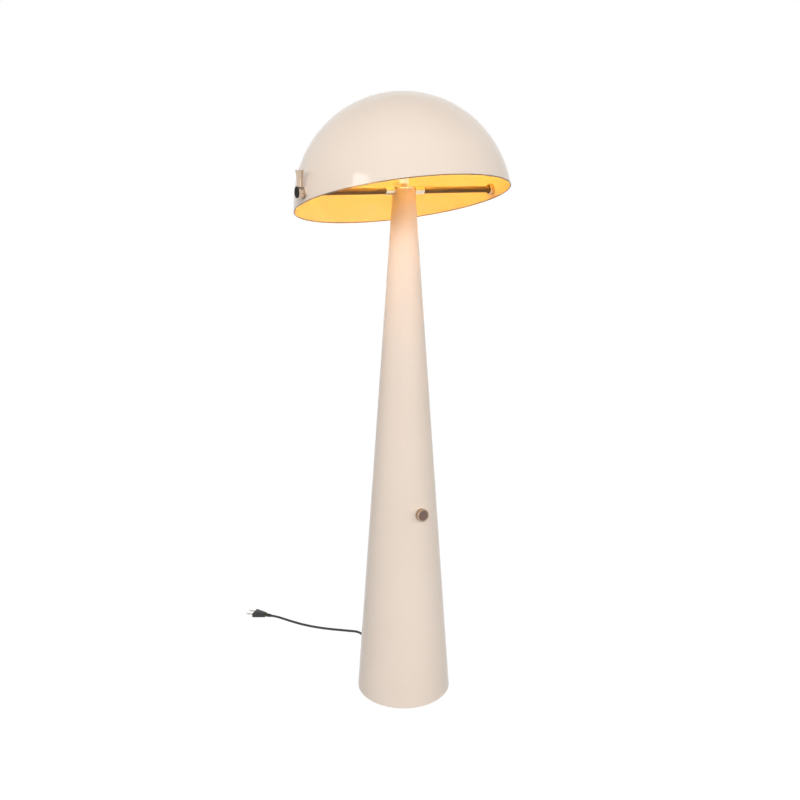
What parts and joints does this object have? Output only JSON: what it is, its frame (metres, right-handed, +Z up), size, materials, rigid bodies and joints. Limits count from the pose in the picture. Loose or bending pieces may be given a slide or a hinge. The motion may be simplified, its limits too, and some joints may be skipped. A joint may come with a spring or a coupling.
{
  "type": "floor lamp",
  "caption": "Floor lamp with a tall tapered column, a domed shade that tilts on a cross bar between two clamp levers, a rotary dimmer and a coiled mains cord.",
  "frame": {"origin": "on the floor at the centre of the round foot", "axes": "+Z up along the column; -Y to the front, the side of the dimmer; +X along the cross bar, to the right of someone who faces the dimmer"},
  "size_m": [0.482, 0.7215, 1.336],
  "materials": {
    "cream_enamel": "gloss",
    "bronze_trim": "satin, dark",
    "black_lacquer": "gloss",
    "pale_brass": "polished",
    "warm_nickel": "satin, warm",
    "black_insert": "satin",
    "brown_insert": "satin",
    "iron": "matte",
    "steel": "plain",
    "nylon": "natural",
    "fibre": "matte",
    "black_plastic": "matte",
    "black_rubber": "matte",
    "lead_sheath": "matte",
    "white_plastic": "gloss",
    "ceramic": "glazed",
    "brass": "plain",
    "lamp_cap": "plain",
    "bulb_envelope": "clear",
    "light_strip": "glowing"
  },
  "bodies": {
    "base": {"cone_shell": "cream_enamel", "base_weight": "iron", "foot_pad": "black_rubber", "tie_washer": "steel", "tie_nut": "steel", "tie_tube": "steel", "head_block": "pale_brass", "grub_screws": "steel", "bar_collar_left": "pale_brass", "bar_collar_right": "pale_brass", "cross_bar_left": "black_lacquer", "cross_bar_right": "black_lacquer", "pivot_stud_left": "steel", "pivot_stud_right": "steel", "friction_washers": "fibre", "thrust_washers": "steel", "lamp_nipple": "steel", "nipple_nut": "steel", "holder_cup": "white_plastic", "holder_skirt": "white_plastic", "holder_core": "ceramic", "holder_socket": "brass", "bulb_cap": "lamp_cap", "bulb_glass": "bulb_envelope", "bulb_stem": "bulb_envelope", "bulb_filaments": "light_strip", "dimmer_body": "black_plastic", "dimmer_washer": "steel", "dimmer_nut": "steel", "strain_relief": "black_rubber", "gland_nut": "black_plastic", "terminal_block": "nylon", "block_screws": "steel", "cord_clamp": "nylon", "clamp_screws": "steel", "inner_cord": "black_rubber", "lamp_lead": "lead_sheath", "dimmer_lead": "lead_sheath", "cord_lead": "black_rubber", "cord_coil": "black_rubber", "cord_run": "black_rubber", "plug_body": "black_plastic", "plug_pins": "brass"},
    "shade": {"shade_dome": "cream_enamel", "rim_trim": "bronze_trim", "hub_bolts": "cream_enamel", "hub_nuts": "steel", "pivot_bushes": "nylon"},
    "clamp_left": {"clamp_knob_left": "warm_nickel", "clamp_lever_left": "warm_nickel", "knob_cap_left": "black_insert"},
    "clamp_right": {"clamp_knob_right": "warm_nickel", "clamp_lever_right": "warm_nickel", "knob_cap_right": "black_insert"},
    "dimmer": {"dimmer_shaft": "steel", "dimmer_knob": "warm_nickel", "dimmer_cap": "brown_insert"}
  },
  "joints": [
    {"name": "shade_tilt", "type": "hinge", "parent": "base", "child": "shade", "pos_m": [0, 0, 1.141], "axis": [1, 0, 0], "range_deg": [-30.6, 59.4]},
    {"name": "clamp_left_turn", "type": "hinge", "parent": "base", "child": "clamp_left", "pos_m": [-0.2331, 0, 1.141], "axis": [1, 0, 0], "range_deg": [-90, 0]},
    {"name": "clamp_right_turn", "type": "hinge", "parent": "base", "child": "clamp_right", "pos_m": [0.2331, 0, 1.141], "axis": [1, 0, 0], "range_deg": [0, 90]},
    {"name": "dimmer_turn", "type": "hinge", "parent": "base", "child": "dimmer", "pos_m": [0, -0.07428, 0.4546], "axis": [0, -0.9973, 0.074], "range_deg": [-150, 150]}
  ]
}
